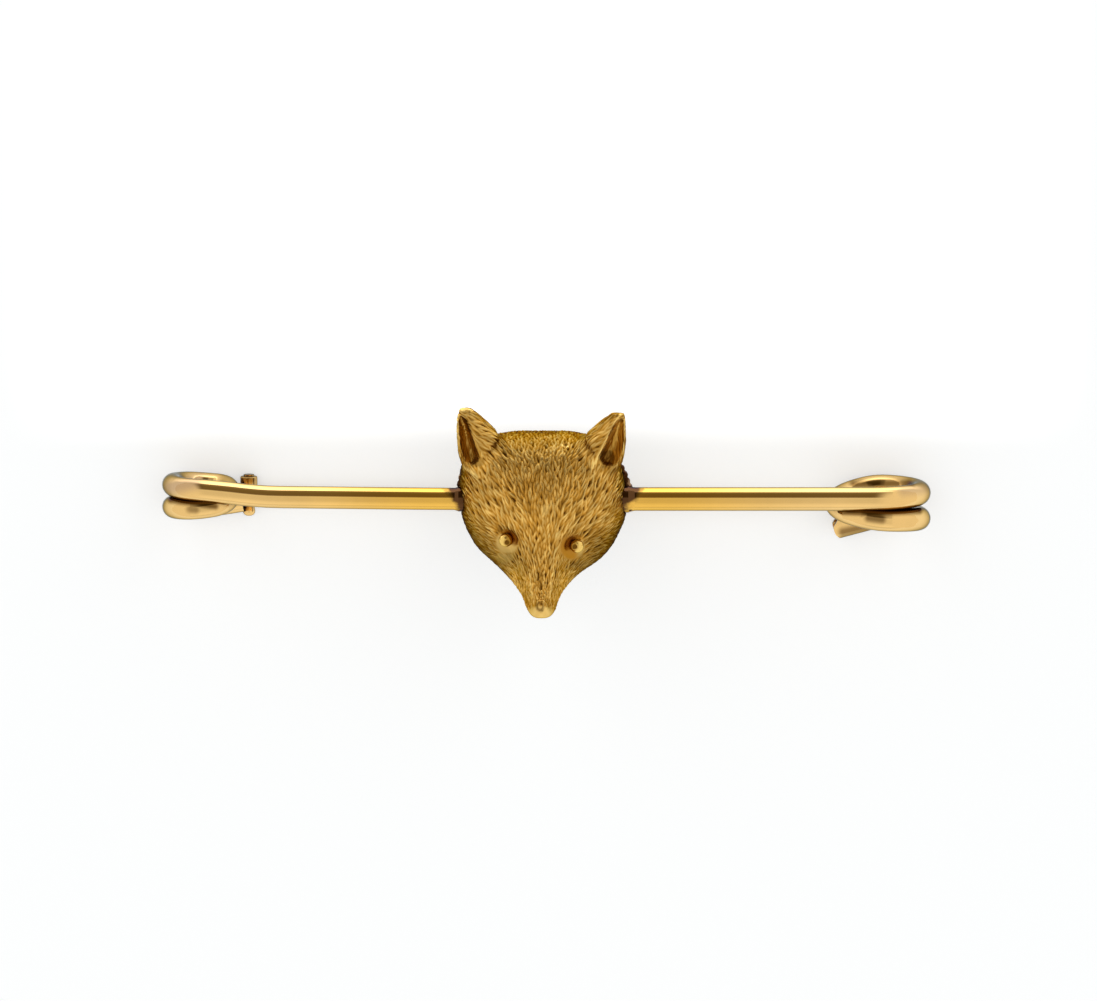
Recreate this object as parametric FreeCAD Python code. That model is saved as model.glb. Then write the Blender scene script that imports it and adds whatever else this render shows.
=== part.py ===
# Figural animal brooch: a cast fox mask on a stock-pin wire with a coil at each end.
# Millimetres. X runs along the bar, Y towards the ears, Z up out of the fox's face.
# The brooch lies on its back: Z = 0 is the plane that the backs of both coils rest on.
import FreeCAD, Part

import math
import os

from FreeCAD import Vector

# Driving dimensions of the wire
LEFT_WIRE_R = 0.84
RIGHT_WIRE_R = 0.89
BAR_Z = 6.64

# Moves the model so that the origin is at the centre of the base of its box
BOX_SHIFT = Vector(0.0, 0.45, 0.0)

POINTS_PER_TURN = 12
BEND_SHARE = 0.49

# Coils: centre along the bar, half length of the wire's loop, and how far the rounded corners of the
# first turn stay inside its points, which are set lower by as much, so that both turns rest on the floor
LEFT_COIL_X = -26.14
LEFT_COIL_HALF = 2.16
LEFT_TURN_CUT = 0.072
RIGHT_COIL_X = 25.05
RIGHT_COIL_HALF = 3.22
RIGHT_TURN_CUT = 0.099

# Coil rows: turn angle from the front of the coil, Y of the wire, how far it is set back from the bar,
# and how square the turn is from there to the next row (2 is an oval)
COIL_COLUMNS = ("angle", "y", "set_back", "squareness")
LEFT_COIL_ROWS = (
    (0, 0.67, 0.0, 2.0),
    (90, 0.74, 0.0, 2.0),
    (180, 0.39, 0.0, 3.2),
    (240, 0.22, 0.0, 3.2),
    (270, -0.19, 0.0, 2.8),
    (360, -0.78, 0.60, 2.0),
    (450, -0.96, 0.0, 2.0),
    (540, -1.44, 0.0, 2.0),
)
RIGHT_COIL_ROWS = (
    (0, 0.00, 0.0, 2.0),
    (90, 0.10, 0.0, 2.0),
    (180, 0.20, 0.0, 2.0),
    (270, -0.76, 0.0, 2.0),
    (360, -1.61, 0.35, 2.0),
    (450, -1.87, 0.0, 2.0),
    (540, -1.82, 0.0, 2.0),
)

# Bar between the coils: X and Y of the points where it bends a little
BAR_COLUMNS = ("x", "y")
BAR_BENDS = ((-24.2, 0.49), (-21.4, 0.16), (-7.2, 0.0))

# Hinge at the end of the left coil, and the pin stem
HINGE_X = -22.64
HINGE_Z = 0.65
HINGE_R = 0.65
HINGE_TOP_Y = 0.93
HINGE_BOTTOM_Y = -1.29
WIRE_END_Y = -0.95
WIRE_END_SET = 0.75
HINGE_Y = -0.44
HINGE_SLOT = 1.00
HINGE_WEB = 0.30
HINGE_ROUNDING = 0.12
RIVET_R = 0.17
RIVET_HEAD_R = 0.40
RIVET_HEAD = 0.10
KNOB_R = 0.46
KNOB_LENGTH = 0.78
GAP = 0.03
STEM_R = 0.40
STEM_TIP_R = 0.07
STEM_TIP_X = 24.1
STEM_TAPER_X = 17.0
STEM_TIP_Y = -1.29
EYE_R = 0.33

# Catch at the end of the right coil: a gutter that narrows towards the wire
CATCH_MOUTH_X = 21.78
CATCH_END_X = 24.95
CATCH_WALL = 0.42
CATCH_MOUTH_R = 1.26
CATCH_END_R = 0.98
CATCH_BACK_Z = 0.0
CATCH_MOUTH_BOTTOM_Y = -3.90
CATCH_END_BOTTOM_Y = -3.11
CATCH_TOP_Y = -0.76
CATCH_BEVEL_TOP_X = 23.0
CATCH_BEVEL_LOW_Y = -2.74
CATCH_LIP = 1.16
LIP_BULGE_SHARE = 0.29

# Solder collars where the bar enters the head
COLLAR_INSIDE = 0.9
COLLAR_COLUMNS = ("side", "x", "length", "rise", "radius")
COLLARS = ((-1, -6.62, 0.45, 0.10, LEFT_WIRE_R), (1, 6.14, 0.70, 0.14, RIGHT_WIRE_R))

# Fox head. X from the nose, Y from the bar, height from the bar's axis.
# Its sections lean: a point moves towards the nose by this share of its height.
HEAD_X = -0.38
HEAD_LEAN = 0.078
HEAD_BACK = -0.86
SEAT_GAP = 0.04
FACE_SIDE_POWER = 2.7
FACE_TOP_POWER = 2.1
RIDGE_POWER = 2.4
FACE_POINTS = 19
FACE_COLUMNS = ("y", "left", "right", "floor", "cheek", "ridge", "ridge_half")
FACE_ROWS = (
    (5.03, 1.50, 1.50, -0.86, 0.20, 0.00, 2.00),
    (4.93, 2.60, 2.60, -0.86, 0.75, 0.00, 2.00),
    (4.67, 3.80, 3.75, -0.86, 1.50, 0.00, 2.00),
    (4.09, 4.95, 4.90, -0.86, 2.45, 0.05, 2.20),
    (2.96, 5.80, 5.80, -0.86, 3.40, 0.10, 2.40),
    (1.48, 6.18, 6.30, -0.86, 4.05, 0.22, 2.40),
    (0.00, 6.16, 6.42, -0.86, 4.25, 0.42, 2.20),
    (-1.48, 5.94, 6.30, -0.86, 4.05, 0.80, 2.00),
    (-2.66, 5.48, 5.82, -0.86, 3.60, 1.40, 1.85),
    (-3.75, 4.78, 5.22, -0.86, 3.00, 2.25, 1.75),
    (-4.68, 3.78, 4.25, -0.70, 2.50, 3.10, 1.65),
    (-5.42, 2.88, 3.00, -0.10, 2.45, 3.65, 1.50),
    (-6.06, 2.10, 2.08, 1.00, 3.20, 3.30, 1.35),
    (-6.61, 1.48, 1.44, 2.60, 4.60, 2.20, 1.10),
    (-7.05, 1.18, 1.16, 4.10, 6.10, 0.80, 0.90),
    (-7.38, 0.92, 0.92, 5.10, 6.72, 0.00, 0.70),
    (-7.59, 0.50, 0.50, 5.70, 6.35, 0.00, 0.50),
)
CAVITY_WIDTH_SHARE = 0.80
CAVITY_HEIGHT_SHARE = 0.66
CAVITY_ROWS = (3, 10)

# Ears: which side, Y of the tip, and how wide the hollow is and how far it is moved across
EAR_FOOT_Y = 2.56
EARS_COLUMNS = ("side", "tip_y", "hollow_width", "hollow_shift")
EARS = ((-1, 7.35, 0.72, 0.10), (1, 6.98, 1.0, 0.0))

# Ear rows: share of the ear's height, centre of the section and its half sizes
EAR_POINTS = 14
EAR_POWER = 2.2
EAR_COLUMNS = ("share", "x", "z", "half_x", "half_z")
EAR_ROWS = (
    (-0.26, 4.35, 0.60, 0.80, 1.50),
    (0.00, 4.60, 0.85, 1.20, 1.85),
    (0.26, 4.72, 1.20, 1.48, 1.75),
    (0.50, 4.70, 1.55, 1.60, 1.50),
    (0.66, 4.92, 1.80, 1.38, 1.22),
    (0.80, 5.23, 2.05, 1.05, 0.95),
    (0.91, 5.50, 2.25, 0.76, 0.68),
    (1.00, 5.70, 2.40, 0.46, 0.38),
)
EAR_HOLLOW_COLUMNS = ("share", "x", "z", "half_x", "half_z")
EAR_HOLLOW_ROWS = (
    (0.12, 5.15, 2.90, 0.42, 0.80),
    (0.26, 5.18, 2.80, 0.82, 1.30),
    (0.50, 5.50, 2.80, 0.66, 1.50),
    (0.66, 5.62, 2.80, 0.54, 1.25),
    (0.80, 5.78, 2.85, 0.40, 1.05),
    (0.94, 5.92, 2.90, 0.18, 0.75),
)

# Eyes: X from the nose, Y, height, ball and socket
EYE_COLUMNS = ("x", "y", "z")
EYES = ((-2.67, -2.27, 3.78), (2.66, -2.74, 3.70))
EYEBALL_R = 0.52
SOCKET_R = 0.90
SOCKET_LIFT = 0.40

# Nose pad
NOSE_Y = -6.53
NOSE_Z = 6.50
NOSE_R = 0.46


def table(columns, rows):
    """Rows of numbers as rows with named columns."""
    return [dict(zip(columns, row)) for row in rows]


def between(rows, key, value, column):
    """A column's value between the two rows around a value of the key."""
    for low, high in zip(rows, rows[1:]):
        if low[key] <= value <= high[key]:
            share = (value - low[key]) / (high[key] - low[key])
            return low[column] + (high[column] - low[column]) * share
    return rows[-1][column]


def power(value, exponent):
    """Signed power, for rounded-square curves."""
    return math.copysign(abs(value) ** exponent, value)


# Wires: straight runs joined by tangent arcs
def path_edges(points):
    """Edges through a list of points, with the largest tangent arc that each corner's runs allow."""
    edges = []
    radii = []
    start = points[0]
    for before, corner, after in zip(points, points[1:], points[2:]):
        first = before - corner
        second = after - corner
        turn = math.pi - first.getAngle(second)
        if turn < math.radians(0.2):
            continue
        reach = BEND_SHARE * min(first.Length, second.Length)
        a = corner + Vector(first).normalize() * reach
        b = corner + Vector(second).normalize() * reach
        radius = reach / math.tan(turn / 2)
        radii.append(radius)
        middle_way = (Vector(first).normalize() + Vector(second).normalize()).normalize()
        middle = corner + middle_way * (radius / math.cos(turn / 2) - radius)
        edges.append(Part.LineSegment(start, a).toShape())
        edges.append(Part.Arc(a, middle, b).toShape())
        start = b
    edges.append(Part.LineSegment(start, points[-1]).toShape())
    print("wire: smallest bend radius", round(min(radii), 2))
    return edges


def tube(points, radius):
    """A round wire along a path, with its volume compared with its section times its length."""
    edges = path_edges(points)
    path = Part.Wire(edges)
    way = edges[0].tangentAt(edges[0].FirstParameter)
    ring = Part.Wire(Part.Circle(points[0], way, radius).toShape())
    solid = path.makePipeShell([ring], True, False)
    share = solid.Volume / (math.pi * radius**2 * path.Length)
    print("wire: valid", solid.isValid(), "volume over section times length", round(share, 4))
    return solid


def coil_points(rows, centre_x, half, turn_cut, outward, radius):
    """Points of a coil's wire, from the bar's end to the wire's far end at the back."""
    steps = POINTS_PER_TURN * rows[-1]["angle"] // 360
    points = []
    for step in range(steps + 1):
        angle = step * 360 / POINTS_PER_TURN
        turn = math.radians(angle)
        exponent = 2 / [row["squareness"] for row in rows if row["angle"] <= angle][-1]
        x = centre_x + outward * half * power(math.sin(turn), exponent)
        depth = BAR_Z - radius + (turn_cut if angle <= 360 else 0)
        z = BAR_Z - depth * (1 - power(math.cos(turn), exponent)) / 2
        front = (1 + math.cos(turn)) / 2
        set_back = between(rows, "angle", angle, "set_back") * front
        points.append(Vector(x, between(rows, "angle", angle, "y"), z - set_back))
    return points


def u_section(x, radius, bottom_y):
    """Outline of the catch across the bar: a U that is open towards the ears."""
    centre_y = bottom_y + radius
    centre_z = CATCH_BACK_Z + radius
    inner = radius - CATCH_WALL
    corners = [
        Vector(x, CATCH_TOP_Y, centre_z - radius),
        Vector(x, centre_y, centre_z - radius),
        Vector(x, centre_y, centre_z + radius),
        Vector(x, CATCH_TOP_Y, centre_z + radius),
        Vector(x, CATCH_TOP_Y, centre_z + inner),
        Vector(x, centre_y, centre_z + inner),
        Vector(x, centre_y, centre_z - inner),
        Vector(x, CATCH_TOP_Y, centre_z - inner),
    ]
    edges = [
        Part.LineSegment(corners[0], corners[1]),
        Part.Arc(corners[1], Vector(x, centre_y - radius, centre_z), corners[2]),
        Part.LineSegment(corners[2], corners[3]),
        Part.LineSegment(corners[3], corners[4]),
        Part.LineSegment(corners[4], corners[5]),
        Part.Arc(corners[5], Vector(x, centre_y - inner, centre_z), corners[6]),
        Part.LineSegment(corners[6], corners[7]),
        Part.LineSegment(corners[7], corners[0]),
    ]
    return Part.Wire([edge.toShape() for edge in edges])


def make_catch():
    """The flattened end of the wire, curled into a gutter with a bevelled mouth for the pin."""
    mouth = u_section(CATCH_MOUTH_X, CATCH_MOUTH_R, CATCH_MOUTH_BOTTOM_Y)
    end = u_section(CATCH_END_X, CATCH_END_R, CATCH_END_BOTTOM_Y)
    gutter = Part.makeLoft([mouth, end], True, True)
    low = CATCH_MOUTH_BOTTOM_Y - 1
    lip_end = Vector(CATCH_MOUTH_X + CATCH_LIP, CATCH_MOUTH_BOTTOM_Y, 0)
    lip_start = Vector(CATCH_MOUTH_X, CATCH_BEVEL_LOW_Y, 0)
    lip_bulge = Vector(-1, -1, 0).normalize() * (LIP_BULGE_SHARE * CATCH_LIP)
    corners = [
        lip_start,
        Vector(CATCH_BEVEL_TOP_X, CATCH_TOP_Y, 0),
        Vector(CATCH_END_X + 1, CATCH_TOP_Y, 0),
        Vector(CATCH_END_X + 1, low, 0),
        Vector(CATCH_MOUTH_X + CATCH_LIP, low, 0),
        lip_end,
    ]
    outline = [Part.LineSegment(a, b) for a, b in zip(corners, corners[1:])]
    outline.append(Part.Arc(lip_end, (lip_start + lip_end) * 0.5 + lip_bulge, lip_start))
    face = Part.Face(Part.Wire([edge.toShape() for edge in outline]))
    return gutter.common(face.extrude(Vector(0, 0, 3 * CATCH_MOUTH_R)))


def make_barrel():
    """The hinge: a short upright barrel with a slot for the pin's eye and a hole for the rivet."""
    up = Vector(0, 1, 0)
    height = HINGE_TOP_Y - HINGE_BOTTOM_Y
    barrel = Part.makeCylinder(HINGE_R, height, Vector(HINGE_X, HINGE_BOTTOM_Y, HINGE_Z), up)
    rims = [edge for edge in barrel.Edges if isinstance(edge.Curve, Part.Circle)]
    return barrel.makeFillet(HINGE_ROUNDING, rims)


def cut_hinge(solid):
    """The slot and the rivet's hole, through the barrel and the end of the wire."""
    slot_x = HINGE_X - HINGE_R + HINGE_WEB
    slot = Part.makeBox(
        2 * HINGE_R, HINGE_SLOT, 2 * HINGE_R + 1, Vector(slot_x, HINGE_Y - HINGE_SLOT / 2, -0.1)
    )
    up = Vector(0, 1, 0)
    hole = Part.makeCylinder(RIVET_R + GAP, 6, Vector(HINGE_X, HINGE_Y - 3, HINGE_Z), up)
    room_base = Vector(HINGE_X, HINGE_BOTTOM_Y - 2 * KNOB_LENGTH, HINGE_Z)
    room = Part.makeCylinder(KNOB_R + 2 * GAP, 2 * KNOB_LENGTH, room_base, up)
    return solid.cut([slot, hole, room])


def make_collar(collar):
    """Solder round the bar in the side of the head, with a foot that runs out along the bar."""
    inner = collar["x"] - collar["side"] * COLLAR_INSIDE
    outer = collar["x"] + collar["side"] * collar["length"]
    radius = collar["radius"]
    inner_rim = Vector(collar["x"], radius + collar["rise"], 0)
    outer_rim = Vector(outer, radius - 0.02, 0)
    middle = (inner_rim + outer_rim) * 0.5 - Vector(0, 0.25 * collar["rise"], 0)
    corners = [
        outer_rim,
        Vector(outer, 0, 0),
        Vector(inner, 0, 0),
        Vector(inner, radius + collar["rise"], 0),
        inner_rim,
    ]
    edges = [Part.LineSegment(a, b) for a, b in zip(corners, corners[1:])]
    edges.append(Part.Arc(inner_rim, middle, outer_rim))
    profile = Part.Face(Part.Wire([edge.toShape() for edge in edges]))
    solid = profile.revolve(Vector(0, 0, 0), Vector(1, 0, 0), 360)
    solid.translate(Vector(0, 0, BAR_Z))
    return solid


def make_bar_wire():
    """The bar, both coils, the hinge barrel, the catch and the solder: one solid."""
    left = coil_points(
        table(COIL_COLUMNS, LEFT_COIL_ROWS),
        LEFT_COIL_X,
        LEFT_COIL_HALF,
        LEFT_TURN_CUT,
        -1,
        LEFT_WIRE_R,
    )
    right = coil_points(
        table(COIL_COLUMNS, RIGHT_COIL_ROWS),
        RIGHT_COIL_X,
        RIGHT_COIL_HALF,
        RIGHT_TURN_CUT,
        1,
        RIGHT_WIRE_R,
    )
    bends = [Vector(b["x"], b["y"], BAR_Z) for b in table(BAR_COLUMNS, BAR_BENDS)]
    middle = Vector(HEAD_X, 0, BAR_Z)
    left_end = Vector(HINGE_X - WIRE_END_SET * HINGE_R, WIRE_END_Y, left[-1].z)
    right_end = Vector(CATCH_END_X - CATCH_WALL, right[-1].y, right[-1].z)
    left_wire = tube(left[::-1] + bends + [middle], LEFT_WIRE_R)
    end_wire = tube([left[-2], left[-1], left_end], LEFT_WIRE_R)
    right_wire = tube([middle] + right + [right_end], RIGHT_WIRE_R)
    collars = [make_collar(collar) for collar in table(COLLAR_COLUMNS, COLLARS)]
    wire = left_wire.fuse([right_wire, end_wire, make_barrel(), make_catch()] + collars)
    return cut_hinge(wire)


def make_rivet():
    """The hinge's rivet: a flat head on the barrel and a rounded knob below it."""
    low = HINGE_BOTTOM_Y - GAP
    high = HINGE_TOP_Y + GAP
    tip = low - KNOB_LENGTH
    outline = (
        (0, tip),
        (0, high + RIVET_HEAD),
        (RIVET_HEAD_R, high + RIVET_HEAD),
        (RIVET_HEAD_R, high),
        (RIVET_R, high),
        (RIVET_R, low),
        (0.85 * KNOB_R, low),
        (KNOB_R, low - 0.45 * KNOB_LENGTH),
        (0.45 * KNOB_R, tip),
    )
    corners = [Vector(HINGE_X + radius, y, HINGE_Z) for radius, y in outline]
    bulge = Vector(HINGE_X + 0.86 * KNOB_R, tip + 0.16 * KNOB_LENGTH, HINGE_Z)
    profile = [Part.LineSegment(a, b) for a, b in zip(corners[:-1], corners[1:-1])]
    profile.append(Part.Arc(corners[-2], bulge, corners[-1]))
    profile.append(Part.LineSegment(corners[-1], corners[0]))
    face = Part.Face(Part.Wire([edge.toShape() for edge in profile]))
    return face.revolve(Vector(HINGE_X, 0, HINGE_Z), Vector(0, 1, 0), 360)


def make_pin():
    """The pin: a flat eye on the rivet, and a straight stem that tapers into the catch."""
    up = Vector(0, 1, 0)
    eye_height = HINGE_SLOT - 2 * GAP
    eye = Part.makeCylinder(EYE_R, eye_height, Vector(HINGE_X, HINGE_Y - eye_height / 2, HINGE_Z), up)
    start = Vector(HINGE_X, HINGE_Y, HINGE_Z)
    way = Vector(STEM_TIP_X, STEM_TIP_Y, HINGE_Z) - start
    taper_share = (STEM_TAPER_X - HINGE_X) / (STEM_TIP_X - HINGE_X)
    taper = start + way * taper_share
    straight = Part.makeCylinder(STEM_R, way.Length * taper_share, start, way)
    point = Part.makeCone(STEM_R, STEM_TIP_R, way.Length * (1 - taper_share), taper, way)
    stem = straight.fuse([point, Part.makeSphere(STEM_TIP_R, Vector(STEM_TIP_X, STEM_TIP_Y, HINGE_Z))])
    behind = Part.makeBox(2, 4, 4, Vector(HINGE_X - 2, HINGE_Y - 2, HINGE_Z - 2))
    hole = Part.makeCylinder(RIVET_R + GAP, 3, Vector(HINGE_X, HINGE_Y - 1.5, HINGE_Z), up)
    return stem.cut(behind).fuse(eye).cut(hole).removeSplitter()


# The fox head
def on_head(across, y, height):
    """A point of the head, from its distance across, its row's Y and its height."""
    return Vector(HEAD_X + across, y - HEAD_LEAN * height, BAR_Z + height)


def face_section(row, width_share, height_share, back):
    """Section of the face across the bar: cheeks as a rounded arch, with the ridge of the muzzle on it."""
    floor = max(row["floor"], back) if height_share == 1 else back
    cheek = row["cheek"] * height_share
    curve = []
    for step in range(FACE_POINTS):
        angle = math.pi * step / (FACE_POINTS - 1)
        side = row["left"] if math.cos(angle) > 0 else row["right"]
        across = power(math.cos(angle), 2 / FACE_SIDE_POWER) * side * width_share
        rise = power(math.sin(angle), 2 / FACE_TOP_POWER)
        ridge = row["ridge"] * math.exp(-(abs(across) / row["ridge_half"]) ** RIDGE_POWER) * rise
        height = floor + (cheek - floor) * rise + ridge * height_share
        curve.append(on_head(-across, row["y"], height))
    arch = Part.BSplineCurve()
    arch.interpolate(curve)
    return Part.Wire([arch.toShape(), Part.LineSegment(curve[-1], curve[0]).toShape()])


def face_loft(rows, width_share, height_share, back):
    """The mask from the top of the skull to the nose, or the hollow in its back."""
    sections = [face_section(row, width_share, height_share, back) for row in rows]
    return Part.makeLoft(sections, True, False)


def ear_section(row, side, y, width, shift):
    """Closed rounded section of an ear or of its hollow, across the bar."""
    curve = []
    for step in range(EAR_POINTS):
        angle = 2 * math.pi * step / EAR_POINTS
        half = row["half_x"] * width
        across = side * (row["x"] + shift) + half * power(math.cos(angle), 2 / EAR_POWER)
        height = row["z"] + row["half_z"] * power(math.sin(angle), 2 / EAR_POWER)
        curve.append(on_head(across, y, height))
    ring = Part.BSplineCurve()
    ring.interpolate(Points=curve, PeriodicFlag=True)
    return Part.Wire([ring.toShape()])


def ear_loft(rows, ear, width=1.0, shift=0.0):
    """A loft up one ear, through the rows of its outside or of its hollow."""
    sections = []
    for row in rows:
        y = EAR_FOOT_Y + (ear["tip_y"] - EAR_FOOT_Y) * row["share"]
        sections.append(ear_section(row, ear["side"], y, width, shift))
    return Part.makeLoft(sections, True, False)


def seat_cuts(collar):
    """Room for one half of the bar and its solder, open to the back of the head."""
    outside = collar["x"] + 2 * collar["side"]
    inside = collar["x"] - collar["side"] * (COLLAR_INSIDE + SEAT_GAP)
    cuts = []
    for end, radius in ((HEAD_X, collar["radius"]), (inside, collar["radius"] + collar["rise"])):
        seat = radius + SEAT_GAP
        start = min(outside, end)
        length = abs(outside - end)
        cuts.append(Part.makeCylinder(seat, length, Vector(start, 0, BAR_Z), Vector(1, 0, 0)))
        cuts.append(Part.makeBox(length, 2 * seat, 3, Vector(start, -seat, BAR_Z - 3)))
    return cuts


def make_fox_head():
    """The cast mask: face, ears, eyes and nose in one, hollow at the back."""
    rows = table(FACE_COLUMNS, FACE_ROWS)
    head = face_loft(rows, 1, 1, HEAD_BACK)
    adds = []
    cuts = [face_loft(rows[slice(*CAVITY_ROWS)], CAVITY_WIDTH_SHARE, CAVITY_HEIGHT_SHARE, -2)]
    hollow_rows = table(EAR_HOLLOW_COLUMNS, EAR_HOLLOW_ROWS)
    for ear in table(EARS_COLUMNS, EARS):
        adds.append(ear_loft(table(EAR_COLUMNS, EAR_ROWS), ear))
        cuts.append(ear_loft(hollow_rows, ear, ear["hollow_width"], ear["hollow_shift"]))
    balls = []
    for eye in table(EYE_COLUMNS, EYES):
        centre = on_head(eye["x"], eye["y"], eye["z"])
        cuts.append(Part.makeSphere(SOCKET_R, centre + Vector(0, 0, SOCKET_LIFT)))
        balls.append(Part.makeSphere(EYEBALL_R, centre))
    balls.append(Part.makeSphere(NOSE_R, on_head(0, NOSE_Y, NOSE_Z)))
    for collar in table(COLLAR_COLUMNS, COLLARS):
        cuts.extend(seat_cuts(collar))
    head = head.fuse(adds).cut(cuts).fuse(balls)
    return head


def main():
    os.makedirs("parts", exist_ok=True)
    pieces = {
        "bar_wire": make_bar_wire(),
        "fox_head": make_fox_head(),
        "pin_stem": make_pin(),
        "hinge_rivet": make_rivet(),
    }
    for name, shape in pieces.items():
        shape.translate(BOX_SHIFT)
        box = shape.BoundBox
        print(
            name, "solids", len(shape.Solids), "valid", shape.isValid(), "volume", round(shape.Volume, 2),
            "box", [round(v, 2) for v in (box.XMin, box.YMin, box.ZMin, box.XMax, box.YMax, box.ZMax)],
        )
        shape.Solids[0].exportStep("parts/" + name + ".step")


main()
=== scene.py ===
import math

import bmesh
import bpy
import numpy as np
from mathutils import Matrix, Vector, kdtree, noise


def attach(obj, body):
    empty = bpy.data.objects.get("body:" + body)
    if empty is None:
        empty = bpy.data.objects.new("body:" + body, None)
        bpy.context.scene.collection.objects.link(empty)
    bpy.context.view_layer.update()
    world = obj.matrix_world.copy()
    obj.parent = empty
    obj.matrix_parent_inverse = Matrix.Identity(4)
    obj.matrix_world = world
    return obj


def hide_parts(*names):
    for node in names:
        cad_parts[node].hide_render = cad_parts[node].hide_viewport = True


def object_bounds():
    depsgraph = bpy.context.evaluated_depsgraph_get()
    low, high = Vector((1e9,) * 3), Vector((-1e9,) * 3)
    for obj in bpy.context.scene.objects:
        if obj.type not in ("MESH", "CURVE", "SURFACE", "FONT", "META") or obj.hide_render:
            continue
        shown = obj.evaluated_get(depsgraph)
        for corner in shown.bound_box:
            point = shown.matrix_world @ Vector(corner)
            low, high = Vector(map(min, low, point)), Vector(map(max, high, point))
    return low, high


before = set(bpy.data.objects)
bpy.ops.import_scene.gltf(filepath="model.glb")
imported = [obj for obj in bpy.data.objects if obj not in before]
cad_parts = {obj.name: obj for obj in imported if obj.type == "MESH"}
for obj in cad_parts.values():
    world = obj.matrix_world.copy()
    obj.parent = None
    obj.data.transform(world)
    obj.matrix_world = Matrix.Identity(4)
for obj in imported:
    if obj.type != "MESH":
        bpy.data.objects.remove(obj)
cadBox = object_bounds()

# The photo's view: the brooch lies on its back, and the camera looks down on it, leaning a little
# towards the ears
view = {
    "barAxis": (0.0, 0.00045, 0.00664),   # middle of the bar, metres
    "lean": math.radians(8.0),            # camera's lean from straight above
    "distance": 0.5,
    "frameWidth": 0.08248,                # what the photo spans at the bar
    "sensor": 36.0,
    "shiftRight": 0.00015,                # picture's centre, from the bar's middle
    "shiftUp": -0.000113,
}
viewRight = Vector((1, 0, 0))
viewUp = Vector((0, math.cos(view["lean"]), -math.sin(view["lean"])))
viewBack = Vector((0, math.sin(view["lean"]), math.cos(view["lean"])))


def makeCamera():
    target = Vector(view["barAxis"]) + viewRight * view["shiftRight"] + viewUp * view["shiftUp"]
    data = bpy.data.cameras.new("camera")
    data.sensor_width = view["sensor"]
    data.lens = view["sensor"] * view["distance"] / view["frameWidth"]
    data.clip_start = 0.01
    data.clip_end = 10
    camera = bpy.data.objects.new("camera", data)
    bpy.context.scene.collection.objects.link(camera)
    camera.location = target + viewBack * view["distance"]
    camera.rotation_euler = (-view["lean"], 0, 0)
    bpy.context.scene.camera = camera
    bpy.context.scene.view_settings.view_transform = "Standard"


# Studio: a pale floor, brighter behind the brooch, and a soft sky with one dark strip for the bar to mirror
studio = {
    "floorSize": 3.0,
    "floorColour": (0.58, 0.625, 0.70),
    "floorGlow": 0.52,                    # lifts the floor towards the photo's white
    "backGlow": 1.10,                     # and more so behind the brooch
    "backGlowFrom": 0.003,                # where that starts and is whole, in Y
    "backGlowTo": 0.012,
    "backGlowHalf": 0.029,                # how far it runs to each side, and where it has faded
    "backGlowFaded": 0.042,
    "skyStrength": 1.0,
    "sideColour": (0.90, 0.86, 0.78),     # what the coils' ends mirror, without the strip
    "sideFrom": 0.12,
    "sideTo": 0.42,
}
# Sky brightness against the angle from straight up, over +Y where positive: angle, then red, green and blue
skyRows = (
    (-180, 0.60, 0.58, 0.54),
    (-84, 0.80, 0.78, 0.72),
    (-66, 1.00, 0.97, 0.90),
    (-45, 0.90, 0.87, 0.80),
    (-28, 0.76, 0.73, 0.66),
    (4, 0.73, 0.70, 0.63),
    (13, 0.80, 0.77, 0.70),
    (18, 0.62, 0.58, 0.50),
    (24, 0.16, 0.12, 0.06),
    (62, 0.18, 0.14, 0.07),
    (72, 0.28, 0.23, 0.16),
    (80, 1.00, 0.97, 0.90),
    (86, 2.60, 2.55, 2.45),
    (96, 2.80, 2.75, 2.65),
    (180, 1.50, 1.45, 1.40),
)


def addNode(tree, kind, place, **values):
    node = tree.nodes.new(kind)
    node.location = place
    for name, value in values.items():
        if hasattr(node, name):
            setattr(node, name, value)
        else:
            node.inputs[name].default_value = value
    return node


def join(tree, value, socket):
    # Links a socket, or sets it where the value is a number or a colour
    if isinstance(value, bpy.types.NodeSocket):
        tree.links.new(value, socket)
    elif isinstance(value, tuple) and len(value) == 3 and socket.type == "RGBA":
        socket.default_value = (*value, 1)
    else:
        socket.default_value = value


def mixColours(tree, factor, first, second, place, how="MIX"):
    node = addNode(tree, "ShaderNodeMix", place, data_type="RGBA", blend_type=how)
    for socket, value in ((node.inputs[0], factor), (node.inputs[6], first), (node.inputs[7], second)):
        join(tree, value, socket)
    return node.outputs[2]


def mapRange(tree, value, fromLow, fromHigh, toLow, toHigh, place, smooth=False):
    node = addNode(tree, "ShaderNodeMapRange", place)
    node.interpolation_type = "SMOOTHSTEP" if smooth else "LINEAR"
    for socket, item in zip(node.inputs[:5], (value, fromLow, fromHigh, toLow, toHigh)):
        join(tree, item, socket)
    return node.outputs[0]


def maths(tree, operation, first, second, place):
    node = addNode(tree, "ShaderNodeMath", place, operation=operation)
    join(tree, first, node.inputs[0])
    join(tree, second, node.inputs[1])
    return node.outputs[0]


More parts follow.
